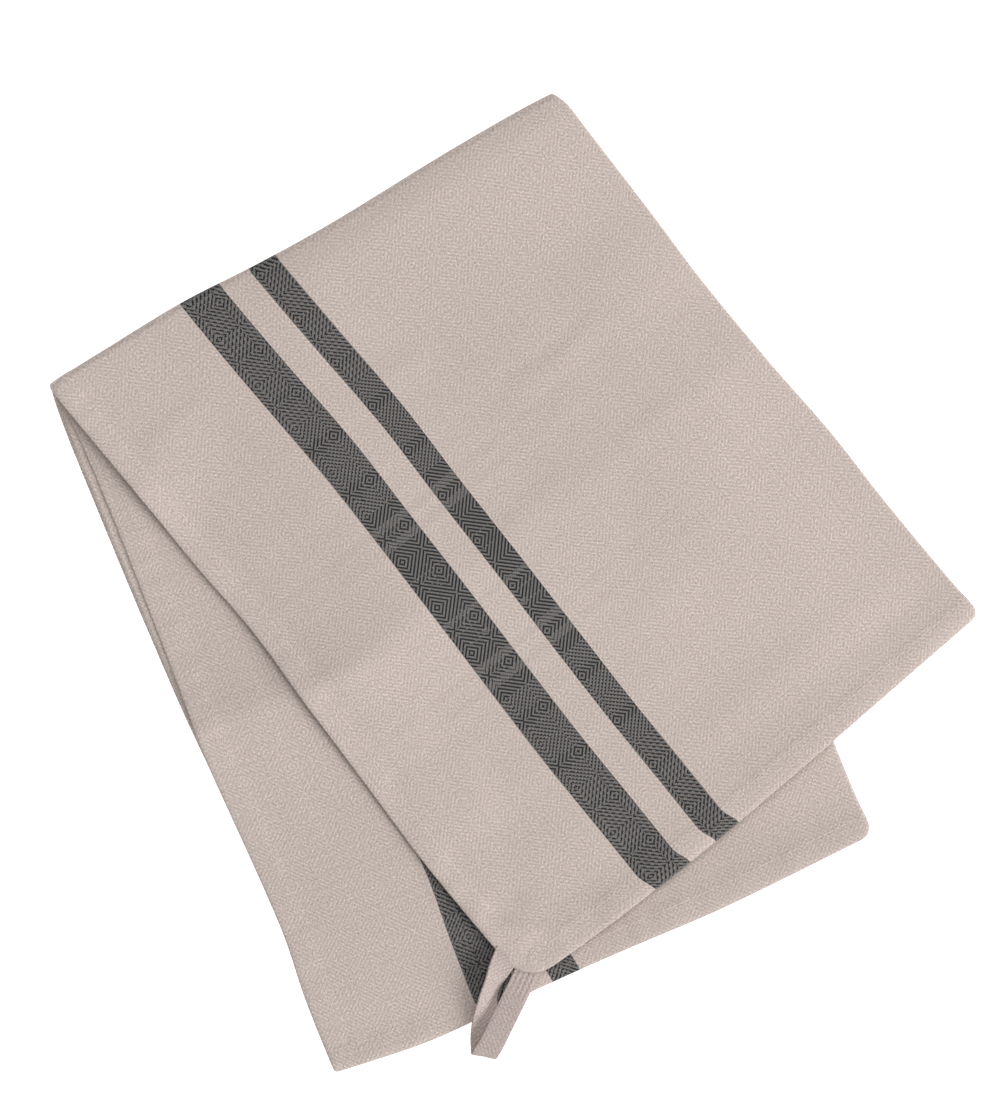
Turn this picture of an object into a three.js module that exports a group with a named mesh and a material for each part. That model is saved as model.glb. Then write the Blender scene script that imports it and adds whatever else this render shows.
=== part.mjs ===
// Tea towel, folded in half along its length and then across on a slant, with a tape loop at one
// corner of its hem. Millimetres, +Z up. +Y runs along the upper half's stripes from its hem to the
// slanted fold, +X towards the lengthwise fold, and the origin is under the middle of the towel.
import * as THREE from 'three';

const degrees = Math.PI / 180;

// The cloth. Its two long hemmed edges lie together at x = 0 and its lengthwise fold at halfWidth.
const cloth = {
  halfWidth: 276,     // long hems to lengthwise fold, so the towel is 552 wide
  thickness: 1.2,
  layerGap: 1.2,      // between the two layers of one half
  halfGap: 1.0,       // between the lower half and the upper half laid on it
  hemWidth: 10.5,
  hemStep: 1.5,       // width over which a hem thins down to the cloth
  hemExtra: 0.5,      // how much a hem is thicker than the cloth, on the wrong side
};
const slantFold = {
  reach: 361.2,       // outermost edge of the fold, above the corner with the loop
  slant: 8.28 * degrees,
  lowerLean: 0.0098,  // sideways lean of the lower half, as a share of the distance from the fold
};

// The two short hems: y in the unfolded half-width towel, across the width. The loop is at x = 0.
const hemLines = [
  { x: 0, near: 0.0, far: 712.2 },
  { x: 50, near: -2.1, far: 715.0 },
  { x: 100, near: -2.7, far: 711.5 },
  { x: 150, near: -1.4, far: 709.3 },
  { x: 200, near: 0.6, far: 708.0 },
  { x: 276, near: 3.4, far: 702.3 },
];
// Sideways wander of the cloth along its length, at the long hems, on the stripes and at the fold.
const wander = [
  { y: 0, hem: 0.3, stripe: 0.0, fold: 0.9 },
  { y: 35, hem: -0.2, stripe: 0.0, fold: -0.2 },
  { y: 75, hem: -1.0, stripe: -0.4, fold: -0.9 },
  { y: 115, hem: 0.2, stripe: 0.0, fold: -0.7 },
  { y: 160, hem: 1.8, stripe: 0.9, fold: -3.0 },
  { y: 210, hem: 3.5, stripe: 1.3, fold: -3.9 },
  { y: 250, hem: 1.8, stripe: 1.9, fold: -2.8 },
  { y: 300, hem: 1.4, stripe: -0.2, fold: -2.1 },
  { y: 350, hem: 0.6, stripe: -1.8, fold: -1.1 },
  { y: 420, hem: 0.7, stripe: -0.6, fold: -0.5 },
  { y: 490, hem: 0.2, stripe: 0.0, fold: 0.0 },
  { y: 550, hem: 0.3, stripe: 0.5, fold: 0.5 },
  { y: 640, hem: 2.6, stripe: 2.4, fold: 1.8 },
  { y: 675, hem: 0.4, stripe: 1.0, fold: 1.6 },
  { y: 713, hem: 0.0, stripe: 0.0, fold: 2.0 },
];
const stripeAt = 100; // where across the width the stripe column of that table holds
// How far the outer layer stands past the middle at the long hems; the inner one stands back as far.
const layerOffset = [
  { y: 0, out: 0.3 },
  { y: 30, out: 0.6 },
  { y: 350, out: 0.6 },
  { y: 378, out: 2.2 },
  { y: 400, out: 2.7 },
  { y: 440, out: 2.7 },
  { y: 490, out: 2.0 },
  { y: 525, out: 1.4 },
  { y: 560, out: 0.3 },
  { y: 713, out: 0.2 },
];
// Outward bulge of the slanted fold's edge across the width, dying away within foldBulgeReach of it.
const foldBulge = [
  { x: 0, out: 0.2 },
  { x: 25, out: 1.4 },
  { x: 72, out: 2.7 },
  { x: 118, out: 0.3 },
  { x: 155, out: -0.4 },
  { x: 215, out: 1.0 },
  { x: 255, out: 0.9 },
  { x: 276, out: 0.0 },
];
const foldBulgeReach = 40;
// Rounded corners: which side, which end, and the radius.
const corners = [
  { side: 'hem', end: 'near', radius: 17 },
  { side: 'fold', end: 'near', radius: 5 },
  { side: 'hem', end: 'slant', radius: 5 },
  { side: 'fold', end: 'slant', radius: 10 },
  { side: 'hem', end: 'far', radius: 5 },
  { side: 'fold', end: 'far', radius: 6 },
];
const cornerCut = 0.27; // share of the radius by which a corner point is drawn in

// Soft rises and dips, placed on the unfolded cloth: their long and short half lengths, the turn of
// the long one from the width's direction, the height, and the lowest layer that they lift.
const rises = [
  { name: 'open mouth of the slanted fold', x: 0, y: 312, long: 95, short: 75, turn: 90,
    height: 4.5, lifts: 'upperHalf' },
  { name: 'quarter crease, upper half', x: 140, y: 168, long: 200, short: 24, turn: 0,
    height: 1.1, lifts: 'upperHalf' },
  { name: 'quarter crease, lower half', x: 130, y: 542, long: 210, short: 24, turn: 0,
    height: 1.1, lifts: 'innerLayer' },
  { name: 'roll beside the slanted fold', x: 165, y: 312, long: 150, short: 30, turn: -8,
    height: 0.7, lifts: 'upperHalf' },
  { name: 'trough right of the stripes', x: 222, y: 229, long: 62, short: 17, turn: 6,
    height: -0.6, lifts: 'topLayer' },
  { name: 'trough by the narrow stripe', x: 140, y: 262, long: 30, short: 12, turn: -42,
    height: -0.5, lifts: 'topLayer' },
  { name: 'corner over the loop', x: 5, y: 14, long: 60, short: 48, turn: 60,
    height: 2.2, lifts: 'topLayer' },
];
const sag = { reach: 70, floorGap: 0.4 }; // the upper half going down beyond the lower half's side

// The loop: a tape folded over, its two ends side by side between the layers of the upper corner.
// Each row is the tape's middle on its way round, with the direction of its width seen from above
// and how far the tape tilts about its length.
const tape = { width: 11.5, thickness: 1.0, rows: 57 };
const loopRun = [
  { x: 7.9, y: 20.6, z: 7.25, across: -62, tilt: 0 },
  { x: 0.5, y: 16.4, z: 7.5, across: -62, tilt: 0 },
  { x: -7.2, y: 12.0, z: 7.3, across: -60, tilt: -15 },
  { x: -15.3, y: 7.2, z: 6.0, across: -56, tilt: -16 },
  { x: -23.0, y: 1.3, z: 4.75, across: -48, tilt: 0 },
  { x: -29.5, y: -5.6, z: 4.5, across: -44, tilt: 0 },
  { x: -34.8, y: -11.8, z: 3.5, across: -47, tilt: 0 },
  { x: -36.9, y: -14.2, z: 6.9, across: -50, tilt: 0 },
  { x: -34.6, y: -13.2, z: 10.5, across: -57, tilt: 0 },
  { x: -28.5, y: -10.8, z: 11.7, across: -64, tilt: 0 },
  { x: -20.0, y: -6.9, z: 11.5, across: -65, tilt: 0 },
  { x: -11.0, y: -3.0, z: 9.7, across: -65, tilt: 0 },
  { x: -3.0, y: 0.7, z: 7.9, across: -65, tilt: 0 },
  { x: 4.2, y: 4.2, z: 7.15, across: -65, tilt: 0 },
  { x: 11.5, y: 7.6, z: 7.15, across: -65, tilt: 0 },
];

const pairHeight = 2 * cloth.thickness + cloth.layerGap;
const bendCentreZ = pairHeight + cloth.halfGap / 2;
const bendLength = Math.PI * (bendCentreZ - pairHeight / 2); // along the middle of the bent pair
const across = new THREE.Vector2(Math.cos(slantFold.slant), -Math.sin(slantFold.slant));
const beyond = new THREE.Vector2(Math.sin(slantFold.slant), Math.cos(slantFold.slant));
const bendStart = new THREE.Vector2(0, slantFold.reach - bendCentreZ / beyond.y);

const smooth = (share) => THREE.MathUtils.smoothstep(share, 0, 1);
const hump = (share) => (Math.abs(share) < 1 ? (1 - share * share) ** 2 : 0);

// One column of a table, read smoothly between its rows.
function readTable(rows, key, place, column) {
  const last = rows.length - 1;
  if (place <= rows[0][key]) return rows[0][column];
  if (place >= rows[last][key]) return rows[last][column];
  let i = 0;
  while (place > rows[i + 1][key]) i += 1;
  const slope = (a, b) => (rows[b][column] - rows[a][column]) / (rows[b][key] - rows[a][key]);
  const span = rows[i + 1][key] - rows[i][key];
  const u = (place - rows[i][key]) / span;
  const startPull = slope(Math.max(i - 1, 0), i + 1) * span;
  const endPull = slope(i, Math.min(i + 2, last)) * span;
  const rise = rows[i + 1][column] - rows[i][column];
  const bend = u * (1 - u) * (startPull * (1 - u) - endPull * u + rise * (2 * u - 1));
  return rows[i][column] + rise * u + bend;
}

// Where the bend of the slanted fold begins and ends on the unfolded cloth.
const bendBegins = (x) => bendStart.y - Math.tan(slantFold.slant) * x;
const bendEnds = (x) => bendBegins(x) + bendLength / beyond.y;

// A point of the half-width towel, unfolded along its length, with its sideways wander.
function wandered(x, y) {
  const atHem = readTable(wander, 'y', y, 'hem');
  const atStripe = readTable(wander, 'y', y, 'stripe');
  const atFold = readTable(wander, 'y', y, 'fold');
  const shift = x < stripeAt
    ? THREE.MathUtils.lerp(atHem, atStripe, x / stripeAt)
    : THREE.MathUtils.lerp(atStripe, atFold, (x - stripeAt) / (cloth.halfWidth - stripeAt));
  return new THREE.Vector2(x + shift, y);
}

// Draws the six corners in, on the unfolded cloth.
function rounded(x, y) {
  const point = new THREE.Vector2(x, y);
  const middleOfBend = bendBegins(x) + bendLength / 2;
  for (const corner of corners) {
    const fromSide = corner.side === 'hem' ? x : cloth.halfWidth - x;
    const inwardX = corner.side === 'hem' ? 1 : -1;
    let fromEnd = Math.abs(y - middleOfBend);
    let inwardY = 0;
    if (corner.end === 'near') {
      fromEnd = y - readTable(hemLines, 'x', x, 'near');
      inwardY = 1;
    }
    if (corner.end === 'far') {
      fromEnd = readTable(hemLines, 'x', x, 'far') - y;
      inwardY = -1;
    }
    const sideShare = Math.max(0, 1 - Math.max(fromSide, 0) / corner.radius);
    const endShare = Math.max(0, 1 - Math.max(fromEnd, 0) / corner.radius);
    const pull = cornerCut * corner.radius * sideShare ** 2 * endShare ** 2;
    point.x += inwardX * pull;
    point.y += inwardY * pull;
  }
  return point;
}

// Folds a point over the slant. h is its height in the half-width towel's own two layers.
function foldOver(x, y, h) {
  const flat = wandered(x, y).sub(bendStart);
  const along = flat.dot(across);
  const past = flat.dot(beyond);
  const folded = new THREE.Vector3();
  const plan = new THREE.Vector2();
  let fromEdge = 0;
  if (past <= 0) {
    plan.copy(bendStart).addScaledVector(across, along).addScaledVector(beyond, past);
    folded.z = 2 * bendCentreZ - h;
    fromEdge = -past;
  } else if (past < bendLength) {
    const angle = Math.PI * (1 - past / bendLength);
    const radius = bendCentreZ - h;
    plan.copy(bendStart).addScaledVector(across, along)
      .addScaledVector(beyond, radius * Math.sin(angle));
    folded.z = bendCentreZ - radius * Math.cos(angle);
  } else {
    const back = past - bendLength;
    plan.copy(bendStart).addScaledVector(across, along + slantFold.lowerLean * back)
      .addScaledVector(beyond, -back);
    fromEdge = back;
    folded.z = h;
  }
  const bulge = readTable(foldBulge, 'x', x, 'out') * smooth(1 - fromEdge / foldBulgeReach);
  plan.addScaledVector(beyond, bulge);
  folded.x = plan.x;
  folded.y = plan.y;
  return folded;
}

// How far a point of the stack at this level goes with what lifts the layers from a level upwards.
const liftStarts = {
  innerLayer: { from: cloth.thickness, gap: cloth.layerGap },
  upperHalf: { from: pairHeight, gap: cloth.halfGap },
  topLayer: { from: pairHeight + cloth.halfGap + cloth.thickness, gap: cloth.layerGap },
};
function liftShare(level, lifts) {
  const start = liftStarts[lifts];
  return smooth((level - start.from) / start.gap);
}

// Each rise's place and direction on the folded towel, seen from above.
const placedRises = rises.map((rise) => {
  const centre = foldOver(rise.x, rise.y, 0);
  const ahead = foldOver(rise.x + Math.cos(rise.turn * degrees), rise.y + Math.sin(rise.turn * degrees), 0);
  const length = Math.hypot(ahead.x - centre.x, ahead.y - centre.y);
  const direction = { x: (ahead.x - centre.x) / length, y: (ahead.y - centre.y) / length };
  return { ...rise, centre, direction };
});
// The lower half's side under the upper half, past which the upper half sags.
const sideTop = foldOver(cloth.halfWidth, bendEnds(cloth.halfWidth) + 1, 0);
const sideFoot = foldOver(cloth.halfWidth, readTable(hemLines, 'x', cloth.halfWidth, 'far'), 0);

function heightAdded(x, y, level) {
  let added = 0;
  for (const rise of placedRises) {
    const dx = x - rise.centre.x;
    const dy = y - rise.centre.y;
    const long = dx * rise.direction.x + dy * rise.direction.y;
    const short = dy * rise.direction.x - dx * rise.direction.y;
    added += rise.height * hump(long / rise.long) * hump(short / rise.short)
      * liftShare(level, rise.lifts);
  }
  const sideX = sideFoot.x - sideTop.x;
  const sideY = sideFoot.y - sideTop.y;
  const sideLength = Math.hypot(sideX, sideY);
  const outside = ((y - sideTop.y) * sideX - (x - sideTop.x) * sideY) / sideLength;
  const drop = (pairHeight + cloth.halfGap - sag.floorGap) * smooth(outside / sag.reach);
  return added - drop * liftShare(level, 'upperHalf');
}

// Columns of the cloth from its outer layer's long hem, round the lengthwise fold, to the inner
// layer's long hem. A column in the fold has its angle there, and the others their distance x.
const foldX = cloth.halfWidth - pairHeight / 2;
function clothColumns() {
  const hemEdge = cloth.hemWidth + cloth.hemStep;
  const places = [0, 4, cloth.hemWidth, hemEdge, 30, 52, 78, 104, 130, 158, 186, 214, 240, 262, foldX];
  const bendColumns = 6;
  const columns = places.map((x) => ({ layer: 'outer', x }));
  for (let i = 1; i < bendColumns; i += 1) {
    columns.push({ layer: 'bend', angle: THREE.MathUtils.lerp(-90, 90, i / bendColumns) * degrees });
  }
  columns.push(...places.toReversed().map((x) => ({ layer: 'inner', x })));
  return columns;
}

// Where a column's face or back lies in the towel folded along its length, seen from its end.
function inSection(column, isFace) {
  const depth = isFace ? 0 : cloth.thickness;
  if (column.layer === 'outer') return { x: column.x, h: depth };
  if (column.layer === 'inner') return { x: column.x, h: pairHeight - depth };
  const radius = pairHeight / 2 - depth;
  return { x: foldX + radius * Math.cos(column.angle), h: pairHeight / 2 + radius * Math.sin(column.angle) };
}

// Rows of the cloth from the near hem to the far one: even shares of a half, or of the bend.
function clothRows() {
  const hemEdge = cloth.hemWidth + cloth.hemStep;
  const hemRows = [0, 4, cloth.hemWidth, hemEdge];
  const halfRows = 21;
  const bendRows = 8;
  const rows = hemRows.map((edge) => ({ end: 'near', edge, share: 0 }));
  for (let i = 1; i <= halfRows; i += 1) rows.push({ end: 'near', edge: hemEdge, share: i / halfRows });
  for (let i = 1; i < bendRows; i += 1) rows.push({ end: 'bend', edge: 0, share: i / bendRows });
  for (let i = halfRows; i >= 1; i -= 1) rows.push({ end: 'far', edge: hemEdge, share: i / halfRows });
  rows.push(...hemRows.toReversed().map((edge) => ({ end: 'far', edge, share: 0 })));
  return rows;
}

function rowY(row, x) {
  if (row.end === 'bend') return THREE.MathUtils.lerp(bendBegins(x), bendEnds(x), row.share);
  const hem = readTable(hemLines, 'x', x, row.end);
  const fold = row.end === 'near' ? bendBegins(x) : bendEnds(x);
  const inward = Math.sign(fold - hem);
  const start = hem + inward * row.edge;
  return start + (fold - start) * row.share;
}

// How much thicker the cloth is at this place, where a hem is turned under.
function hemThickening(x, y) {
  const fromNear = y - readTable(hemLines, 'x', x, 'near');
  const fromFar = readTable(hemLines, 'x', x, 'far') - y;
  const fromEdge = Math.min(x, fromNear, fromFar);
  return cloth.hemExtra * smooth((cloth.hemWidth + cloth.hemStep - fromEdge) / cloth.hemStep);
}

// A box with a vertex at every column and row, which placeOf then moves to its place.
function shapedSheet(name, columnCount, rowCount, material, placeOf) {
  const geometry = new THREE.BoxGeometry(columnCount - 1, 1, rowCount - 1, columnCount - 1, 1, rowCount - 1);
  const position = geometry.getAttribute('position');
  for (let i = 0; i < position.count; i += 1) {
    const column = Math.round(position.getX(i) + (columnCount - 1) / 2);
    const row = Math.round(position.getZ(i) + (rowCount - 1) / 2);
    const place = placeOf(column, row, position.getY(i) < 0);
    position.setXYZ(i, place.x, place.y, place.z);
  }
  geometry.computeVertexNormals();
  const mesh = new THREE.Mesh(geometry, new THREE.MeshStandardMaterial(material));
  mesh.name = name;
  return mesh;
}

function towelCloth() {
  const columns = clothColumns();
  const rows = clothRows();
  const material = { color: 0xc7bab2, roughness: 0.92, metalness: 0 };
  return shapedSheet('towel_cloth', columns.length, rows.length, material, (column, row, isFace) => {
    const { layer } = columns[column];
    const { x, h } = inSection(columns[column], isFace);
    const y = rowY(rows[row], x);
    const sideways = readTable(layerOffset, 'y', y, 'out') * smooth(1 - x / foldX);
    const backwards = isFace || layer === 'bend' ? 0 : hemThickening(x, y);
    const corner = rounded(x, y);
    const point = layer === 'inner'
      ? foldOver(corner.x + sideways, corner.y, h - backwards)
      : foldOver(corner.x - sideways, corner.y, h + backwards);
    point.z += heightAdded(point.x, point.y, foldOver(x, y, h).z);
    return point;
  });
}

function hangingLoop() {
  const middle = new THREE.CatmullRomCurve3(loopRun.map((row) => new THREE.Vector3(row.x, row.y, row.z)));
  const turns = loopRun.map((row, index) => ({ index, across: row.across, tilt: row.tilt }));
  const material = { color: 0xc4b3ad, roughness: 0.9, metalness: 0 };
  return shapedSheet('hanging_loop', 2, tape.rows, material, (column, row, isFace) => {
    const share = middle.getUtoTmapping(row / (tape.rows - 1));
    const ahead = middle.getTangent(share);
    const place = share * (loopRun.length - 1);
    const turn = readTable(turns, 'index', place, 'across') * degrees;
    const tilt = readTable(turns, 'index', place, 'tilt') * degrees;
    const rough = new THREE.Vector3(Math.cos(turn), Math.sin(turn), Math.tan(tilt));
    const upward = new THREE.Vector3().crossVectors(ahead, rough).normalize();
    const width = new THREE.Vector3().crossVectors(upward, ahead);
    return middle.getPoint(share)
      .addScaledVector(width, (column - 0.5) * tape.width)
      .addScaledVector(upward, (isFace ? -0.5 : 0.5) * tape.thickness);
  });
}

const towel = new THREE.Group();
towel.add(towelCloth(), hangingLoop());
const reach = new THREE.Box3().setFromObject(towel);
const middleOfTowel = reach.getCenter(new THREE.Vector3());
towel.position.set(-middleOfTowel.x, -middleOfTowel.y, -reach.min.z);

export default towel;
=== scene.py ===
# Tea towel in goose-eye twill, folded in half along its length and then across on a slant, with a
# tape loop at one corner. Lengths are in millimetres, and become metres where a mesh is made.
import math

import bmesh
import bpy
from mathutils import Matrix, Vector, noise


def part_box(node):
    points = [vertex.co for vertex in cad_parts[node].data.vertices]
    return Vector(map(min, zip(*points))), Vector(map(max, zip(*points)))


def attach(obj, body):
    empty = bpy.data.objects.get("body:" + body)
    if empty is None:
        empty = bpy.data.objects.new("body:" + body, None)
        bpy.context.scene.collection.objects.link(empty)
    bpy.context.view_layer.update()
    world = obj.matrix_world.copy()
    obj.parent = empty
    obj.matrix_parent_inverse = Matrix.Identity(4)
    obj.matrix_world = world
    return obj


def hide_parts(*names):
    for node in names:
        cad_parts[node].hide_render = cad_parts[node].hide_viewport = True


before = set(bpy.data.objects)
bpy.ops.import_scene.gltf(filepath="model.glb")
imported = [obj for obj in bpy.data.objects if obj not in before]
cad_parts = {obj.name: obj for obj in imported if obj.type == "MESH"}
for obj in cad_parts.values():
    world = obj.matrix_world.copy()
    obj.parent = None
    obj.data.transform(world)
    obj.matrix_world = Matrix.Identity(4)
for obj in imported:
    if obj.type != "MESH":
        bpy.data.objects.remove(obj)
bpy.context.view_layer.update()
print("frame loaded, with", len(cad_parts), "nodes")

mm = 0.001

# The towel's own measures. x runs from the two long hems to the lengthwise fold, y from the near
# short hem to the far one on the unfolded cloth, and both start at the corner with the loop.
towel = dict(
    halfWidth=276.0,
    layerHeight=3.6,  # outer faces of the two layers of a half, one above the other
    halfGap=1.0,
    foldReach=361.2,  # outermost edge of the slanted fold, above the corner with the loop
    foldSlant=math.radians(8.28),
    lowerLean=0.0098,  # sideways lean of the lower half for each millimetre from the fold
    stripeColumnAt=100.0,  # x at which the stripe column of the wander table holds
    bulgeReach=40.0,
    cornerFromBox=(95.84, 45.06),  # the loop's corner, from the lowest corner of the cloth's box
    thickness=0.95,
    hemThickness=1.5,
    hemWidth=11.4,
    flatLength=709.0,
    solidLayer=1.2,  # the solid's thickness, and the gap between the two layers of a half
)
hemLines = [  # the short hems' y across the width
    dict(x=0, near=0.0, far=712.2),
    dict(x=50, near=-2.1, far=715.0),
    dict(x=100, near=-2.7, far=711.5),
    dict(x=150, near=-1.4, far=709.3),
    dict(x=200, near=0.6, far=708.0),
    dict(x=276, near=3.4, far=702.3),
]
wander = [  # how far the cloth strays sideways along its length
    dict(y=0, hem=0.3, stripe=0.0, fold=0.9),
    dict(y=35, hem=-0.2, stripe=0.0, fold=-0.2),
    dict(y=75, hem=-1.0, stripe=-0.4, fold=-0.9),
    dict(y=115, hem=0.2, stripe=0.0, fold=-0.7),
    dict(y=160, hem=1.8, stripe=0.9, fold=-3.0),
    dict(y=210, hem=3.5, stripe=1.3, fold=-3.9),
    dict(y=250, hem=1.8, stripe=1.9, fold=-2.8),
    dict(y=300, hem=1.4, stripe=-0.2, fold=-2.1),
    dict(y=350, hem=0.6, stripe=-1.8, fold=-1.1),
    dict(y=420, hem=0.7, stripe=-0.6, fold=-0.5),
    dict(y=490, hem=0.2, stripe=0.0, fold=0.0),
    dict(y=550, hem=0.3, stripe=0.5, fold=0.5),
    dict(y=640, hem=2.6, stripe=2.4, fold=1.8),
    dict(y=675, hem=0.4, stripe=1.0, fold=1.6),
    dict(y=713, hem=0.0, stripe=0.0, fold=2.0),
]
layerOffset = [  # how far the outer layer stands past the middle at the long hems
    dict(y=0, out=0.3),
    dict(y=30, out=0.6),
    dict(y=350, out=0.6),
    dict(y=378, out=2.2),
    dict(y=400, out=2.7),
    dict(y=440, out=2.7),
    dict(y=490, out=2.0),
    dict(y=525, out=1.4),
    dict(y=560, out=0.3),
    dict(y=713, out=0.2),
]
foldBulge = [  # how far the slanted fold's edge swells outwards
    dict(x=0, out=0.2),
    dict(x=25, out=1.4),
    dict(x=72, out=2.7),
    dict(x=118, out=0.3),
    dict(x=155, out=-0.4),
    dict(x=215, out=1.0),
    dict(x=255, out=0.9),
    dict(x=276, out=0.0),
]
corners = [  # of the folded towel, by the side and the end that meet there
    dict(side="hem", end="near", radius=17.0),
    dict(side="fold", end="near", radius=5.0),
    dict(side="hem", end="slant", radius=5.0),
    dict(side="fold", end="slant", radius=10.0),
    dict(side="hem", end="far", radius=2.0),
    dict(side="fold", end="far", radius=6.0),
]
cornerCut = 0.27  # how far a corner is drawn in, as a share of its radius
# Ridges of the cloth: the crest's middle on the unfolded cloth, its half length, how far the ridge
# runs out on the hem's side and on the slanted fold's side, the crest's turn in degrees, the
# height, how sharp the crest is from 0 to 1, and the lowest layer that it lifts.
ridgeColumns = ("x", "y", "long", "hemSide", "foldSide", "turn", "height", "crest", "lifts")
ridges = [
    (0, 172, 130, 26, 26, 90, -0.6, 0.0, "upperHalf"),  # long hems lying closer
    (0, 172, 130, 26, 26, 90, -0.45, 0.0, "topLayer"),
    (0, 334, 70, 60, 60, 90, 4.0, 0.0, "upperHalf"),  # open mouth of the slanted fold
    (150, 168.5, 200, 60, 62, 0, 1.7, 1.0, "upperHalf"),  # quarter crease
    (34, 168.5, 64, 84, 150, 0, 2.1, 0.5, "upperHalf"),
    (24, 538, 110, 74, 54, 0, 4.2, 1.0, "innerLayer"),  # its match in the lower half
    (200, 538, 90, 58, 46, 0, 0.8, 0.6, "innerLayer"),
    (222, 712, 106, 12, 36, 0, 3.4, 0.0, "innerLayer"),  # far hem curling up
    (16, 712, 50, 10, 12, 0, 0.9, 0.3, "innerLayer"),
    (192, 319, 118, 58, 17, -8.3, 2.2, 0.2, "upperHalf"),  # roll beside the slanted fold
    # small wrinkles of the top layer
    (34, 310, 28, 16, 7, 2, 0.7, 0.6, "topLayer"),
    (187, 223.5, 20, 17, 5, -8, 0.7, 0.8, "topLayer"),
    (212, 225, 17, 17, 5, 12, 0.7, 0.8, "topLayer"),
    (184, 204, 8, 12, 6, 20, 0.4, 0.5, "topLayer"),
    (134, 265, 15, 16, 10, -14, 0.6, 0.4, "topLayer"),
    (256, 226, 40, 26, 40, 4, 1.2, 0.1, "topLayer"),
    (26, 90, 26, 30, 30, -14, 1.3, 0.2, "topLayer"),
    (22, 128, 22, 26, 22, -20, 0.6, 0.2, "topLayer"),
    (56, 42, 30, 26, 18, -6, 0.6, 0.0, "topLayer"),
    (196, 122, 64, 42, 34, 52, 1.0, 0.0, "topLayer"),
    (150, 96, 40, 30, 34, 48, 0.45, 0.0, "topLayer"),
    (200, 40, 84, 15, 16, 0, 0.55, 0.0, "topLayer"),
    (258, 10, 30, 10, 22, 0, 0.9, 0.0, "topLayer"),
    (145, 175, 26, 6, 8, 3, 0.45, 0.6, "topLayer"),
    (215, 172, 22, 5, 7, -2, 0.3, 0.6, "topLayer"),
    (60, 2, 70, 10, 20, 2, 1.3, 0.0, "upperHalf"),  # corner over the loop
    (185, 1, 110, 10, 30, 0, 1.7, 0.0, "upperHalf"),
    (9, 30, 26, 16, 7, -58, 2.4, 0.6, "topLayer"),
    (21, 19, 18, 11, 6, -44, 1.5, 0.6, "topLayer"),
    (33, 22, 20, 12, 7, -48, 1.2, 0.5, "topLayer"),
    (4, 50, 14, 9, 6, -62, 1.3, 0.5, "topLayer"),
]
ridges = [dict(zip(ridgeColumns, row)) for row in ridges]
sag = dict(reach=70.0, floorGap=0.95)  # the upper half going down beside the lower one
# the inner layer sinking onto the outer one beside its long hem, beyond the slanted fold
innerSag = dict(depth=0.7, reach=16.0, start=2.0, run=24.0)


def smooth(share):
    share = min(max(share, 0.0), 1.0)
    return share * share * (3 - 2 * share)


# falls from 1 in the middle to 0 at a share of 1 on either side
def hump(share):
    return (1 - share * share) ** 2 if abs(share) < 1 else 0.0


# the same with a flat top
def plateau(share):
    flatShare = 0.45
    return 1 - smooth((abs(share) - flatShare) / (1 - flatShare))


def mix(a, b, share):
    return a + (b - a) * share


# one column of a table, read smoothly between its rows
def readTable(rows, key, place, column):
    last = len(rows) - 1
    if place <= rows[0][key]:
        return rows[0][column]
    if place >= rows[last][key]:
        return rows[last][column]
    i = 0
    while place > rows[i + 1][key]:
        i += 1

    def slope(a, b):
        return (rows[b][column] - rows[a][column]) / (rows[b][key] - rows[a][key])

    span = rows[i + 1][key] - rows[i][key]
    u = (place - rows[i][key]) / span
    startPull = slope(max(i - 1, 0), i + 1) * span
    endPull = slope(i, min(i + 2, last)) * span
    rise = rows[i + 1][column] - rows[i][column]
    bend = u * (1 - u) * (startPull * (1 - u) - endPull * u + rise * (2 * u - 1))
    return rows[i][column] + rise * u + bend


pairHeight = towel["layerHeight"]
bendCentreZ = pairHeight + towel["halfGap"] / 2
bendLength = math.pi * (bendCentreZ - pairHeight / 2)
slant = towel["foldSlant"]
across = Vector((math.cos(slant), -math.sin(slant)))
beyond = Vector((math.sin(slant), math.cos(slant)))
bendStart = Vector((0.0, towel["foldReach"] - bendCentreZ / beyond.y))
foldX = towel["halfWidth"] - pairHeight / 2
flatWidth = 2 * foldX + math.pi * pairHeight / 2
flatLength = towel["flatLength"]
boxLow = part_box("towel_cloth")[0] / mm
cornerX, cornerY = towel["cornerFromBox"]
loopCorner = Vector((boxLow[0] + cornerX, boxLow[1] + cornerY, 0))


def bendBegins(x):
    return bendStart.y - math.tan(slant) * x


def bendEnds(x):
    return bendBegins(x) + bendLength / beyond.y


def wandered(x, y):
    atStripe = readTable(wander, "y", y, "stripe")
    stripeX = towel["stripeColumnAt"]
    if x < stripeX:
        return Vector((x + mix(readTable(wander, "y", y, "hem"), atStripe, x / stripeX), y))
    share = (x - stripeX) / (towel["halfWidth"] - stripeX)
    return Vector((x + mix(atStripe, readTable(wander, "y", y, "fold"), share), y))


def rounded(x, y):
    place = Vector((x, y))
    middleOfBend = bendBegins(x) + bendLength / 2
    for corner in corners:
        fromSide = x if corner["side"] == "hem" else towel["halfWidth"] - x
        if fromSide >= corner["radius"]:
            continue
        fromEnd, inward = abs(y - middleOfBend), 0
        if corner["end"] == "near":
            fromEnd, inward = y - readTable(hemLines, "x", x, "near"), 1
        if corner["end"] == "far":
            fromEnd, inward = readTable(hemLines, "x", x, "far") - y, -1
        sideShare = 1 - max(fromSide, 0.0) / corner["radius"]
        endShare = max(0.0, 1 - max(fromEnd, 0.0) / corner["radius"])
        pull = cornerCut * corner["radius"] * sideShare**2 * endShare**2
        place.x += pull if corner["side"] == "hem" else -pull
        place.y += inward * pull
    return place


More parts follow.
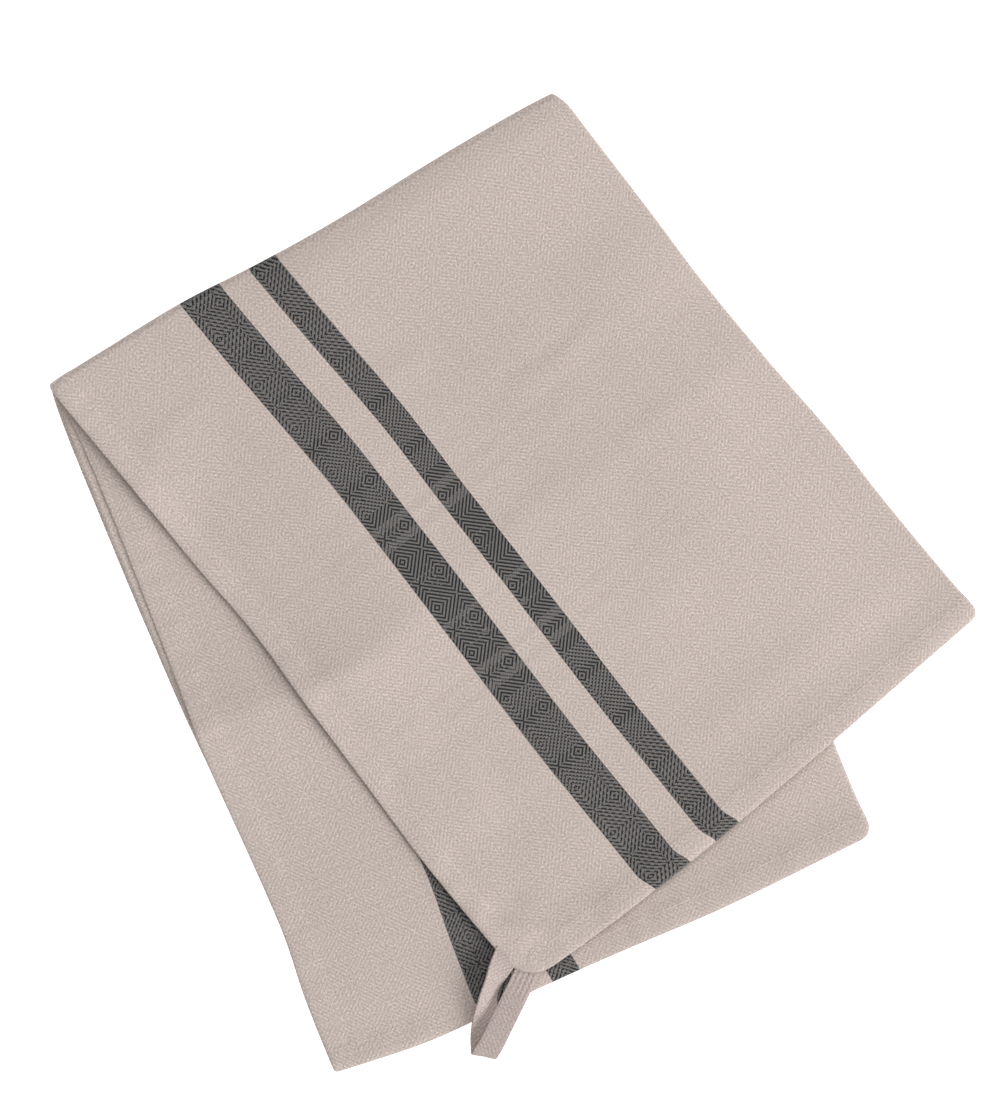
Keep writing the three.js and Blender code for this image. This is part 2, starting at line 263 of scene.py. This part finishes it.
# folds a point of the half-width towel over the slant, h being its height in the two layers
def foldOver(x, y, h):
    flat = wandered(x, y) - bendStart
    along = flat.dot(across)
    past = flat.dot(beyond)
    fromEdge = 0.0
    if past <= 0:
        plan = bendStart + across * along + beyond * past
        z = 2 * bendCentreZ - h
        fromEdge = -past
    elif past < bendLength:
        angle = math.pi * (1 - past / bendLength)
        radius = bendCentreZ - h
        plan = bendStart + across * along + beyond * (radius * math.sin(angle))
        z = bendCentreZ - radius * math.cos(angle)
    else:
        fromEdge = past - bendLength
        plan = bendStart + across * (along + towel["lowerLean"] * fromEdge) - beyond * fromEdge
        z = h
    swell = beyond * readTable(foldBulge, "x", x, "out")
    plan = plan + swell * smooth(1 - fromEdge / towel["bulgeReach"])
    return Vector((plan.x, plan.y, z))


# the height where a lift starts to be felt, and over how much height it grows
liftStarts = dict(
    innerLayer=(towel["solidLayer"], towel["solidLayer"]),
    upperHalf=(pairHeight + 0.3, towel["halfGap"] - 0.5),
    topLayer=(pairHeight + towel["halfGap"] + towel["solidLayer"], towel["solidLayer"]),
)


def liftShare(level, lifts):
    start, gap = liftStarts[lifts]
    return smooth((level - start) / gap)


for ridge in ridges:
    turn = math.radians(ridge["turn"])
    ridge["centre"] = foldOver(ridge["x"], ridge["y"], 0)
    ahead = foldOver(ridge["x"] + math.cos(turn), ridge["y"] + math.sin(turn), 0) - ridge["centre"]
    ridge["direction"] = Vector((ahead.x, ahead.y)).normalized()

sideTop = foldOver(towel["halfWidth"], bendEnds(towel["halfWidth"]) + 1, 0)
sideFoot = foldOver(towel["halfWidth"], readTable(hemLines, "x", towel["halfWidth"], "far"), 0)
sideRun = Vector((sideFoot.x - sideTop.x, sideFoot.y - sideTop.y)).normalized()


def heightAdded(x, y, level):
    added = 0.0
    for ridge in ridges:
        dx, dy = x - ridge["centre"].x, y - ridge["centre"].y
        direction = ridge["direction"]
        long = (dx * direction.x + dy * direction.y) / ridge["long"]
        short = dy * direction.x - dx * direction.y
        short /= ridge["foldSide"] if short > 0 else ridge["hemSide"]
        if abs(long) < 1 and abs(short) < 1:
            section = mix(hump(short), (1 - abs(short)) ** 2, ridge["crest"])
            added += ridge["height"] * plateau(long) * section * liftShare(level, ridge["lifts"])
    outside = (y - sideTop.y) * sideRun.x - (x - sideTop.x) * sideRun.y
    drop = (pairHeight + towel["halfGap"] - sag["floorGap"]) * smooth(outside / sag["reach"])
    return added - drop * liftShare(level, "upperHalf")


def innerSink(x, y):
    beyondFold = smooth((y - bendEnds(x) - innerSag["start"]) / innerSag["run"])
    return innerSag["depth"] * smooth(1 - x / innerSag["reach"]) * beyondFold


# where a point under the cloth's face lies in the section, s running round from the outer long hem
def inSection(s, depth):
    if s <= foldX:
        return "outer", s, depth
    if s >= flatWidth - foldX:
        return "inner", flatWidth - s, pairHeight - depth
    angle = math.pi * ((s - foldX) / (flatWidth - 2 * foldX) - 0.5)
    radius = pairHeight / 2 - depth
    return "bend", foldX + radius * math.cos(angle), pairHeight / 2 + radius * math.sin(angle)


# how far along the flat cloth a point is, both short hems being straight there, and the way back
def alongFlat(x, y):
    near, far = readTable(hemLines, "x", x, "near"), readTable(hemLines, "x", x, "far")
    return (y - near) / (far - near) * flatLength


def unfoldedY(x, t):
    near, far = readTable(hemLines, "x", x, "near"), readTable(hemLines, "x", x, "far")
    return mix(near, far, t / flatLength)


hem = dict(
    faceRise=0.28,  # how far a hem stands up from the cloth beside it
    step=1.6,
    edgeRound=1.0,
    edgeFall=0.2,  # the hem's own slope down to its edge, over its outer part
    edgeFallReach=4.5,
    seamAt=10.4,
    seamDip=0.08,
    seamHalf=1.3,
    pucker=0.5,  # small waves of a hem along its seam
    puckerLength=5.2,
    puckerWidth=14.0,
    puckerSeed=3.7,
    endShift=900,  # gives the short hems waves of their own
    edgeRoundShare=0.6,
    pressedFrom=0.515,  # share of the length from which the outer layer lies flat on the table
    pressedRun=0.01,
)


def hemRelief(s, t):
    fromSide, fromEnd = min(s, flatWidth - s), min(t, flatLength - t)
    fromEdge = max(0.0, min(fromSide, fromEnd))
    run = t if fromSide < fromEnd else s + hem["endShift"]
    inHem = smooth((towel["hemWidth"] + hem["step"] - fromEdge) / hem["step"])
    depth = -hem["faceRise"] * inHem
    depth += hem["seamDip"] * hump((fromEdge - hem["seamAt"]) / hem["seamHalf"])
    depth += hem["edgeFall"] * smooth(1 - fromEdge / hem["edgeFallReach"])
    if fromEdge < 2 * towel["hemWidth"]:
        place = (run / hem["puckerLength"], fromEdge / hem["puckerWidth"], hem["puckerSeed"])
        wave = noise.noise(Vector(place))
        depth += hem["pucker"] * wave * smooth(2 - fromEdge / towel["hemWidth"])
    if fromEdge < hem["edgeRound"]:
        share = 1 - fromEdge / hem["edgeRound"]
        fall = 1 - math.sqrt(max(0.0, 1 - share * share))
        depth += hem["edgeRound"] * hem["edgeRoundShare"] * fall
    if s >= flatWidth / 2:
        return depth
    pressed = smooth((t / flatLength - hem["pressedFrom"]) / hem["pressedRun"])
    return mix(depth, max(depth, 0.0), pressed)


# how far the seam has dragged the threads of a short hem sideways, most between the stripes
drag = dict(near=2.8, far=1.5, reach=10.5, middle=100.0, half=75.0)


def hemDrag(s, t):
    inHem = smooth(1 - min(t, flatLength - t) / drag["reach"])
    fromSide = min(s, flatWidth - s)
    most = drag["near"] if t < flatLength / 2 else drag["far"]
    moved = most * plateau((fromSide - drag["middle"]) / drag["half"]) * inHem
    return moved if s < flatWidth / 2 else -moved


# the place of a point under the cloth's face, in metres
def clothPoint(s, y, depth):
    layer, x, h = inSection(s, depth)
    sideways = readTable(layerOffset, "y", y, "out") * smooth(1 - x / foldX)
    place = rounded(x, y)
    if layer == "inner":
        point = foldOver(place.x + sideways, place.y, h - innerSink(x, y))
    else:
        point = foldOver(place.x - sideways, place.y, h)
    x, h = inSection(s, 0)[1:]
    point.z += heightAdded(point.x, point.y, foldOver(x, y, h).z)
    return (point + loopCorner) * mm


# the places between two ends that part the way into equal steps
def evenly(start, end, count):
    return [mix(start, end, i / count) for i in range(1, count)]


# the cloth's rows and columns near its edges, from the edge inwards
hemSteps = [0.0, 0.25, 1.0, 2.6, 4.8, 7.2, 9.0, 9.8, 10.4, 11.0, 12.0, 13.2]
clothMesh = dict(
    columnsAcrossHalf=74,
    columnsInFold=8,
    rowsAlongHalf=108,
    rowsInFold=14,
    facesUp=((60, 90), (0, 200)),  # a part of the cloth that faces up, along s and t
)


def clothColumns():
    half = hemSteps + evenly(hemSteps[-1], foldX, clothMesh["columnsAcrossHalf"]) + [foldX]
    inFold = evenly(foldX, flatWidth - foldX, clothMesh["columnsInFold"])
    return half + inFold + [flatWidth - s for s in reversed(half)]


def clothRows():
    alongHalf = evenly(0, 1, clothMesh["rowsAlongHalf"])
    inFold = [0.0] + evenly(0, 1, clothMesh["rowsInFold"]) + [1.0]
    rows = [("near", step, 0.0) for step in hemSteps]
    rows += [("near", hemSteps[-1], share) for share in alongHalf]
    rows += [("bend", 0.0, share) for share in inFold]
    rows += [("far", hemSteps[-1], 1 - share) for share in alongHalf]
    rows += [("far", step, 0.0) for step in reversed(hemSteps)]
    return rows


def rowY(row, x):
    end, edge, share = row
    if end == "bend":
        return mix(bendBegins(x), bendEnds(x), share)
    hemLine = readTable(hemLines, "x", x, end)
    start = hemLine + edge if end == "near" else hemLine - edge
    return mix(start, bendBegins(x) if end == "near" else bendEnds(x), share)


def meshObject(bm, name, material):
    mesh = bpy.data.meshes.new(name)
    bm.to_mesh(mesh)
    bm.free()
    for polygon in mesh.polygons:
        polygon.use_smooth = True
    mesh.materials.append(material)
    piece = bpy.data.objects.new(name, mesh)
    bpy.context.scene.collection.objects.link(piece)
    return piece


# a grid whose columns and rows have numbers; each vertex's numbers come back with it
def numberedGrid(columnCount, rowCount):
    bm = bmesh.new()
    bmesh.ops.create_grid(bm, x_segments=columnCount - 1, y_segments=rowCount - 1, size=0.5)
    numbers = {}
    for vertex in bm.verts:
        column = round((vertex.co.x + 0.5) * (columnCount - 1))
        row = round((vertex.co.y + 0.5) * (rowCount - 1))
        numbers[vertex] = (column, row)
    return bm, numbers


def layUv(bm, places):
    uvLayer = bm.loops.layers.uv.new("clothUv")
    for face in bm.faces:
        for loop in face.loops:
            loop[uvLayer].uv = places[loop.vert]


# gives a sheet its thickness, under the face that is drawn
def thicken(piece, thickness):
    wall = piece.modifiers.new("thickness", "SOLIDIFY")
    wall.thickness = thickness * mm
    wall.offset = -1
    return wall


def makeCloth(material):
    columns, rows = clothColumns(), clothRows()
    bm, numbers = numberedGrid(len(columns), len(rows))
    flatPlace, uvPlace = {}, {}
    for vertex, (column, row) in numbers.items():
        s = columns[column]
        x = inSection(s, 0)[1]
        y = rowY(rows[row], x)
        t = alongFlat(x, y)
        vertex.co = clothPoint(s, y, hemRelief(s, t))
        flatPlace[vertex] = (s, t)
        uvPlace[vertex] = ((s - hemDrag(s, t)) * mm, t * mm)
    layUv(bm, uvPlace)
    bm.normal_update()
    (fromS, toS), (fromT, toT) = clothMesh["facesUp"]
    facing = 0.0
    for face in bm.faces:
        s, t = flatPlace[face.verts[0]]
        if fromS < s < toS and fromT <= t < toT:
            facing += face.normal.z
    if facing < 0:
        bmesh.ops.reverse_faces(bm, faces=bm.faces)
    inside, outside = [], []
    for i, vertex in enumerate(bm.verts):
        s, t = flatPlace[vertex]
        inHem = min(s, flatWidth - s, t, flatLength - t) < towel["hemWidth"]
        (inside if inHem else outside).append(i)
    piece = meshObject(bm, "towelCloth", material)
    group = piece.vertex_groups.new(name="hem")
    group.add(inside, 1.0, "REPLACE")
    group.add(outside, 0.0, "REPLACE")
    wall = thicken(piece, towel["hemThickness"])
    wall.thickness_vertex_group = towel["thickness"] / towel["hemThickness"]
    wall.vertex_group = "hem"
    return piece


# The materials.
def calc(tree, operation, *values):
    node = tree.nodes.new("ShaderNodeMath")
    node.operation = operation
    for socket, value in zip(node.inputs, values):
        if isinstance(value, (int, float)):
            socket.default_value = value
        else:
            tree.links.new(value, socket)
    return node.outputs[0]


def blendColor(tree, share, first, second, blendType="MIX"):
    node = tree.nodes.new("ShaderNodeMix")
    node.data_type = "RGBA"
    node.blend_type = blendType
    sockets = (node.inputs[0], node.inputs[6], node.inputs[7])
    for socket, value in zip(sockets, (share, first, second)):
        if isinstance(value, (int, float, tuple)):
            socket.default_value = value
        else:
            tree.links.new(value, socket)
    return node.outputs[2]


def newGroup(name, inputs, outputs):
    tree = bpy.data.node_groups.new(name, "ShaderNodeTree")
    for title, kind, value in inputs:
        socket = tree.interface.new_socket(title, in_out="INPUT", socket_type=kind)
        if value is not None:
            socket.default_value = value
    for title, kind in outputs:
        tree.interface.new_socket(title, in_out="OUTPUT", socket_type=kind)
    return tree, tree.nodes.new("NodeGroupInput"), tree.nodes.new("NodeGroupOutput")


# goose-eye twill: a 2/2 twill whose diagonals turn back after every half repeat, both ways
def makeTwillGroup():
    tree, given, made = newGroup(
        "gooseEyeTwill",
        [
            ("Vector", "NodeSocketVector", None),
            ("End Spacing", "NodeSocketFloat", 0.00058),
            ("Pick Spacing", "NodeSocketFloat", 0.000579),
            ("Eye Place", "NodeSocketVector", (0.0888, 0.1527, 0)),
            ("Ends Repeat", "NodeSocketFloat", 40.0),
            ("Picks Repeat", "NodeSocketFloat", 46.0),
        ],
        [
            ("Warp Up", "NodeSocketFloat"),
            ("Height", "NodeSocketFloat"),
            ("End Tone", "NodeSocketFloat"),
            ("Pick Tone", "NodeSocketFloat"),
        ],
    )
    fromEye = tree.nodes.new("ShaderNodeVectorMath")
    fromEye.operation = "SUBTRACT"
    tree.links.new(given.outputs["Vector"], fromEye.inputs[0])
    tree.links.new(given.outputs["Eye Place"], fromEye.inputs[1])
    apart = tree.nodes.new("ShaderNodeSeparateXYZ")
    tree.links.new(fromEye.outputs[0], apart.inputs[0])
    endPlace = calc(tree, "DIVIDE", apart.outputs[0], given.outputs["End Spacing"])
    pickPlace = calc(tree, "DIVIDE", apart.outputs[1], given.outputs["Pick Spacing"])
    end, pick = calc(tree, "FLOOR", endPlace), calc(tree, "FLOOR", pickPlace)
    endHalf = calc(tree, "MULTIPLY", given.outputs["Ends Repeat"], 0.5)
    pickHalf = calc(tree, "MULTIPLY", given.outputs["Picks Repeat"], 0.5)
    endTurn = calc(tree, "PINGPONG", end, endHalf)
    pickTurn = calc(tree, "PINGPONG", pick, pickHalf)
    order = calc(tree, "FLOORED_MODULO", calc(tree, "ADD", endTurn, pickTurn), 4.0)
    warpUp = calc(tree, "LESS_THAN", order, 1.5)
    endRound = calc(tree, "SINE", calc(tree, "MULTIPLY", calc(tree, "FRACT", endPlace), math.pi))
    pickRound = calc(tree, "SINE", calc(tree, "MULTIPLY", calc(tree, "FRACT", pickPlace), math.pi))
    endHeight = calc(tree, "MULTIPLY", endRound, warpUp)
    pickHeight = calc(tree, "MULTIPLY", pickRound, calc(tree, "SUBTRACT", 1.0, warpUp))
    height = calc(tree, "ADD", endHeight, pickHeight)
    tones = []
    for number in (end, pick):
        toss = tree.nodes.new("ShaderNodeTexWhiteNoise")
        toss.noise_dimensions = "1D"
        tree.links.new(number, toss.inputs["W"])
        tones.append(calc(tree, "MULTIPLY_ADD", toss.outputs["Value"], 2.0, -1.0))
    tree.links.new(warpUp, made.inputs["Warp Up"])
    tree.links.new(height, made.inputs["Height"])
    tree.links.new(tones[0], made.inputs["End Tone"])
    tree.links.new(tones[1], made.inputs["Pick Tone"])
    return tree


# soft uneven tone of washed cloth, about 1, at two sizes
def makeWashedGroup():
    tree, given, made = newGroup(
        "washedTone",
        [
            ("Vector", "NodeSocketVector", None),
            ("Patch Scale", "NodeSocketFloat", 14.0),
            ("Speck Scale", "NodeSocketFloat", 1150.0),
            ("Patch Amount", "NodeSocketFloat", 0.05),
            ("Speck Amount", "NodeSocketFloat", 0.6),
        ],
        [("Tone", "NodeSocketFloat")],
    )
    parts = []
    for size in ("Patch", "Speck"):
        cloud = tree.nodes.new("ShaderNodeTexNoise")
        cloud.inputs["Detail"].default_value = 2.0
        tree.links.new(given.outputs["Vector"], cloud.inputs["Vector"])
        tree.links.new(given.outputs[size + " Scale"], cloud.inputs["Scale"])
        centred = calc(tree, "MULTIPLY_ADD", cloud.outputs["Fac"], 2.0, -1.0)
        parts.append(calc(tree, "MULTIPLY", centred, given.outputs[size + " Amount"]))
    tone = calc(tree, "ADD", calc(tree, "ADD", parts[0], parts[1]), 1.0)
    tree.links.new(tone, made.inputs["Tone"])
    return tree


twillGroup, washedGroup = makeTwillGroup(), makeWashedGroup()

# shared values of the materials
matSpecular = 0.25
bumpDistance = 0.25
clothLook = dict(
    warp=(0.572, 0.492, 0.450, 1),
    weft=(0.472, 0.400, 0.363, 1),
    hemLightness=0.035,
    stripeWarp=(0.014, 0.014, 0.015, 1),
    stripeWeft=(0.168, 0.158, 0.152, 1),
    wideStripe=(73.5, 94.5),  # from the long hem's edge
    narrowStripe=(109.8, 123.8),
    threadTone=0.012,
    roughness=0.92,
    bump=0.38,
)
tapeLook = dict(
    warp=(0.52, 0.437, 0.412, 1),
    weft=(0.44, 0.362, 0.338, 1),
    endsRepeat=400.0,  # long repeats, so that the tape is a plain twill
    picksRepeat=4000.0,
    roughness=0.9,
    bump=0.6,
)


def newMaterial(name, roughness):
    material = bpy.data.materials.new(name)
    material.use_nodes = True
    tree = material.node_tree
    shader = tree.nodes["Principled BSDF"]
    shader.inputs["Roughness"].default_value = roughness
    shader.inputs["Specular IOR Level"].default_value = matSpecular
    return material, tree, shader


def placeGroup(tree, group, vector):
    node = tree.nodes.new("ShaderNodeGroup")
    node.node_tree = group
    tree.links.new(vector, node.inputs["Vector"])
    return node


def clothPlace(tree):
    uv = tree.nodes.new("ShaderNodeUVMap")
    uv.uv_map = "clothUv"
    return uv.outputs[0]


# the threads' colour times the tone, and the weave's height as bump
def finishWeave(tree, shader, threads, tone, height, strength):
    toned = blendColor(tree, 1.0, threads, tone, "MULTIPLY")
    tree.links.new(toned, shader.inputs["Base Color"])
    bump = tree.nodes.new("ShaderNodeBump")
    bump.inputs["Strength"].default_value = strength
    bump.inputs["Distance"].default_value = bumpDistance * mm
    tree.links.new(height, bump.inputs["Height"])
    tree.links.new(bump.outputs[0], shader.inputs["Normal"])


def clothMaterial():
    look = clothLook
    material, tree, shader = newMaterial("gooseEyeCloth", look["roughness"])
    place = clothPlace(tree)
    apart = tree.nodes.new("ShaderNodeSeparateXYZ")
    tree.links.new(place, apart.inputs[0])
    fromOther = calc(tree, "SUBTRACT", flatWidth * mm, apart.outputs[0])
    fromHem = calc(tree, "MINIMUM", apart.outputs[0], fromOther)
    inStripe = 0.0
    for stripe in ("wideStripe", "narrowStripe"):
        low, high = look[stripe]
        middle, half = (low + high) / 2 * mm, (high - low) / 2 * mm
        inside = calc(tree, "COMPARE", fromHem, middle, half)
        inStripe = calc(tree, "MAXIMUM", inStripe, inside)
    twill = placeGroup(tree, twillGroup, place)
    warp = blendColor(tree, inStripe, look["warp"], look["stripeWarp"])
    weft = blendColor(tree, inStripe, look["weft"], look["stripeWeft"])
    threads = blendColor(tree, twill.outputs["Warp Up"], weft, warp)
    washed = placeGroup(tree, washedGroup, place)
    uneven = calc(tree, "ADD", twill.outputs["End Tone"], twill.outputs["Pick Tone"])
    tone = calc(tree, "MULTIPLY_ADD", uneven, look["threadTone"], washed.outputs["Tone"])
    inLongHem = calc(tree, "LESS_THAN", fromHem, towel["hemWidth"] * mm)
    tone = calc(tree, "MULTIPLY_ADD", inLongHem, look["hemLightness"], tone)
    finishWeave(tree, shader, threads, tone, twill.outputs["Height"], look["bump"])
    return material


def tapeMaterial():
    look = tapeLook
    material, tree, shader = newMaterial("loopTape", look["roughness"])
    place = clothPlace(tree)
    twill = placeGroup(tree, twillGroup, place)
    twill.inputs["Ends Repeat"].default_value = look["endsRepeat"]
    twill.inputs["Picks Repeat"].default_value = look["picksRepeat"]
    threads = blendColor(tree, twill.outputs["Warp Up"], look["weft"], look["warp"])
    tone = placeGroup(tree, washedGroup, place).outputs["Tone"]
    finishWeave(tree, shader, threads, tone, twill.outputs["Height"], look["bump"])
    return material


# The loop, a tape from its lower root round the bend to its upper root.
loopTape = dict(
    width=11.5,
    thickness=0.9,
    edgeRise=0.18,  # the woven edges, a little thicker than the tape
    edgeStart=1.6,
    edgeRun=1.2,
    gather=0.22,  # ridges along the upper leg, where it goes in under the hem
    gatherFromEnd=13.0,
    gatherReach=11.0,
    gatherTurn=2.6,
    gatherSway=0.7,
    gatherSwayTurn=0.21,
    columns=25,
    rows=131,
)
# the tape's middle, the direction across it in plan and its tilt, both in degrees
loopColumns = ("x", "y", "z", "across", "tilt")
loopRun = [
    (7.9, 20.6, 7.25, -62, 0),
    (1.5, 17.0, 7.5, -62, -4),
    (-5.9, 13.9, 7.9, -60, -28),
    (-12.1, 11.0, 7.8, -57, -46),
    (-18.1, 7.1, 7.4, -54, -44),
    (-24.2, 0.9, 5.9, -50, -20),
    (-30.2, -5.4, 4.7, -46, -4),
    (-34.9, -11.4, 3.6, -47, 0),
    (-36.9, -14.2, 6.9, -50, 0),
    (-34.6, -13.2, 10.5, -57, 0),
    (-28.5, -10.8, 11.7, -63, 0),
    (-20.0, -6.7, 11.6, -63, 2),
    (-11.0, -2.6, 9.9, -62, 4),
    (-3.0, 1.0, 8.0, -63, 0),
    (4.2, 4.3, 7.15, -64, 0),
    (11.5, 7.6, 7.15, -65, 0),
]
loopRun = [dict(zip(loopColumns, row)) for row in loopRun]
for index, row in enumerate(loopRun):
    row["index"] = index


def loopPlace(place):
    return Vector([readTable(loopRun, "index", place, axis) for axis in "xyz"])


def makeLoop(material):
    columns, rows = loopTape["columns"], loopTape["rows"]
    bm, numbers = numberedGrid(columns, rows)
    last = len(loopRun) - 1
    centres = [loopPlace(last * row / (rows - 1)) for row in range(rows)]
    lengths = [0.0]
    for before, after in zip(centres, centres[1:]):
        lengths.append(lengths[-1] + (after - before).length)
    frames = []
    for row in range(rows):
        ahead = (centres[min(row + 1, rows - 1)] - centres[max(row - 1, 0)]).normalized()
        place = last * row / (rows - 1)
        turn = math.radians(readTable(loopRun, "index", place, "across"))
        tilt = math.radians(readTable(loopRun, "index", place, "tilt"))
        rough = Vector((math.cos(turn), math.sin(turn), math.tan(tilt)))
        upward = ahead.cross(rough).normalized()
        frames.append((centres[row], upward.cross(ahead), upward))
    flatPlace = {}
    for vertex, (column, row) in numbers.items():
        centre, width, upward = frames[row]
        side = (column / (columns - 1) - 0.5) * loopTape["width"]
        sway = loopTape["gatherSway"] * math.sin(row * loopTape["gatherSwayTurn"])
        gather = loopTape["gather"] * math.sin(side * loopTape["gatherTurn"] + sway)
        fromGather = abs(lengths[-1] - loopTape["gatherFromEnd"] - lengths[row])
        gather *= smooth(1 - fromGather / loopTape["gatherReach"])
        inEdge = abs(side) - loopTape["width"] / 2 + loopTape["edgeStart"]
        edge = loopTape["edgeRise"] * smooth(inEdge / loopTape["edgeRun"])
        point = centre + width * side + upward * (loopTape["thickness"] / 2 + gather + edge)
        vertex.co = (point + loopCorner) * mm
        flatPlace[vertex] = (side * mm, lengths[row] * mm)
    layUv(bm, flatPlace)
    piece = meshObject(bm, "hangingLoop", material)
    thicken(piece, loopTape["thickness"])
    return piece, lengths[-1]


# Rows of stitches along the hems, each one a short thread lying on the cloth's face.
stitch = dict(
    pitch=3.1,
    length=2.5,
    radius=0.22,
    lie=0.04,  # how far the thread's middle stands above the face
    fromEdge=10.4,
    fromStripe=1.0,
    endShare=0.02,  # the square of the ends' radius, as a share of the middle's
    sides=6,
    parts=4,
    color=(0.68, 0.595, 0.545, 1),
    roughness=0.8,
)


# the middles of the stitches along a row
def stitchMiddles(start, end):
    count = int((end - start) / stitch["pitch"])
    return [start + (i + 0.5) * (end - start) / count for i in range(count)]


# each row's stitches, and whether the row runs along the long hems
def hemRows():
    inner, start = stitch["fromEdge"], stitch["fromEdge"] * 0.5
    for s in (inner, flatWidth - inner):
        yield [(s, t) for t in stitchMiddles(start, flatLength - start)], True
    for t in (inner, flatLength - inner):
        yield [(s, t) for s in stitchMiddles(start, flatWidth - start)], False


# the dark stripes' threads hide the stitches of the short hems
def hidden(s):
    fromHem, clear = min(s, flatWidth - s), stitch["fromStripe"]
    stripes = (clothLook["wideStripe"], clothLook["narrowStripe"])
    return any(low - clear < fromHem < high + clear for low, high in stripes)


def stitchPoint(s, t, depth):
    y = unfoldedY(inSection(s, 0)[1], t)
    return clothPoint(s, y, hemRelief(s, t) + depth)


# one ring of a stitch's vertices, share of the half length from its middle
def stitchRing(bm, s, t, longHem, share):
    along = share * stitch["length"] / 2
    radius = stitch["radius"] * math.sqrt(max(stitch["endShare"], 1 - share**4))
    ring = []
    for side in range(stitch["sides"]):
        angle = math.tau * side / stitch["sides"]
        out, up = radius * math.cos(angle), radius * math.sin(angle)
        ds, dt = (out, along) if longHem else (along, out)
        ring.append(bm.verts.new(stitchPoint(s + ds, t + dt, -up - stitch["lie"])))
    return ring


def makeStitches(material):
    bm = bmesh.new()
    shares = [2 * part / stitch["parts"] - 1 for part in range(stitch["parts"] + 1)]
    for middles, longHem in hemRows():
        for s, t in middles:
            if hidden(s):
                continue
            rings = [stitchRing(bm, s, t, longHem, share) for share in shares]
            for first, second in zip(rings, rings[1:]):
                for side in range(stitch["sides"]):
                    after = (side + 1) % stitch["sides"]
                    bm.faces.new((first[side], first[after], second[after], second[side]))
            bm.faces.new(rings[0][::-1])
            bm.faces.new(rings[-1])
    bmesh.ops.recalc_face_normals(bm, faces=bm.faces)
    return meshObject(bm, "hemStitches", material)


def stitchMaterial():
    material, tree, shader = newMaterial("stitchThread", stitch["roughness"])
    shader.inputs["Base Color"].default_value = stitch["color"]
    return material


clothPiece = makeCloth(clothMaterial())
print("cloth made")
stitchPiece = makeStitches(stitchMaterial())
print("stitches made")
loopPiece, loopLength = makeLoop(tapeMaterial())
print("loop made, its tape is", round(loopLength, 1), "mm long")

# The floor, the camera straight above and the lights.
white = (1, 1, 1, 1)
studio = dict(
    viewCentre=(27.4, 7.1, 5.0),  # the middle of the frame, on the towel's top
    frameHeight=524.4,
    turn=math.radians(-38.5),  # the photo's up direction, from +Y
    lens=100.0,
    sensor=36.0,
    roomStrength=0.36,
)
floorLook = dict(
    halfSize=20.0,  # in metres
    drop=0.4,
    color=(0.9, 0.9, 0.9, 1),
    emission=0.8,
    roughness=0.9,
)
# each light's place by the photo's right and up directions and its height, all in metres
lights = [
    dict(name="windowSide", right=2.6, up=-1.55, height=1.8, size=2.4, power=110),
    dict(name="overhead", right=0.1, up=0.5, height=1.6, size=1.2, power=11.8),
]


def makeFloor():
    bm = bmesh.new()
    bmesh.ops.create_grid(bm, x_segments=1, y_segments=1, size=floorLook["halfSize"])
    bmesh.ops.translate(bm, verts=bm.verts, vec=(0, 0, -floorLook["drop"] * mm))
    material, tree, shader = newMaterial("paleFloor", floorLook["roughness"])
    shader.inputs["Base Color"].default_value = floorLook["color"]
    shader.inputs["Emission Color"].default_value = white
    shader.inputs["Emission Strength"].default_value = floorLook["emission"]
    floor = meshObject(bm, "floor", material)


def makeCamera():
    camera = bpy.data.cameras.new("above")
    camera.type = "PERSP"
    camera.lens = studio["lens"]
    camera.sensor_width = studio["sensor"]
    holder = bpy.data.objects.new("above", camera)
    centre = Vector(studio["viewCentre"]) * mm
    distance = studio["frameHeight"] * studio["lens"] / studio["sensor"] * mm
    holder.location = centre + Vector((0, 0, distance))
    holder.rotation_euler = (0, 0, studio["turn"])
    bpy.context.scene.collection.objects.link(holder)
    bpy.context.scene.camera = holder


def makeLight(settings):
    light = bpy.data.lights.new(settings["name"], "AREA")
    light.shape = "DISK"
    light.size = settings["size"]
    light.energy = settings["power"]
    holder = bpy.data.objects.new(settings["name"], light)
    rightward = Vector((math.cos(studio["turn"]), math.sin(studio["turn"]), 0))
    upward = Vector((-rightward.y, rightward.x, 0))
    flat = rightward * settings["right"] + upward * settings["up"]
    holder.location = flat + Vector((0, 0, settings["height"]))
    holder.rotation_euler = holder.location.to_track_quat("Z", "Y").to_euler()
    bpy.context.scene.collection.objects.link(holder)


def makeWorld():
    world = bpy.data.worlds.new("paleRoom")
    world.use_nodes = True
    background = world.node_tree.nodes["Background"]
    background.inputs["Color"].default_value = white
    background.inputs["Strength"].default_value = studio["roomStrength"]
    bpy.context.scene.world = world


makeFloor()
makeCamera()
for settings in lights:
    makeLight(settings)
makeWorld()
bpy.context.scene.view_settings.view_transform = "Standard"
print("stage made")

for piece, node, slotName in (
    (clothPiece, "towel_cloth", "woven_cloth"),
    (stitchPiece, None, "woven_cloth"),
    (loopPiece, "hanging_loop", "loop_tape"),
):
    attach(piece, "root")
    if node:
        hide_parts(node)
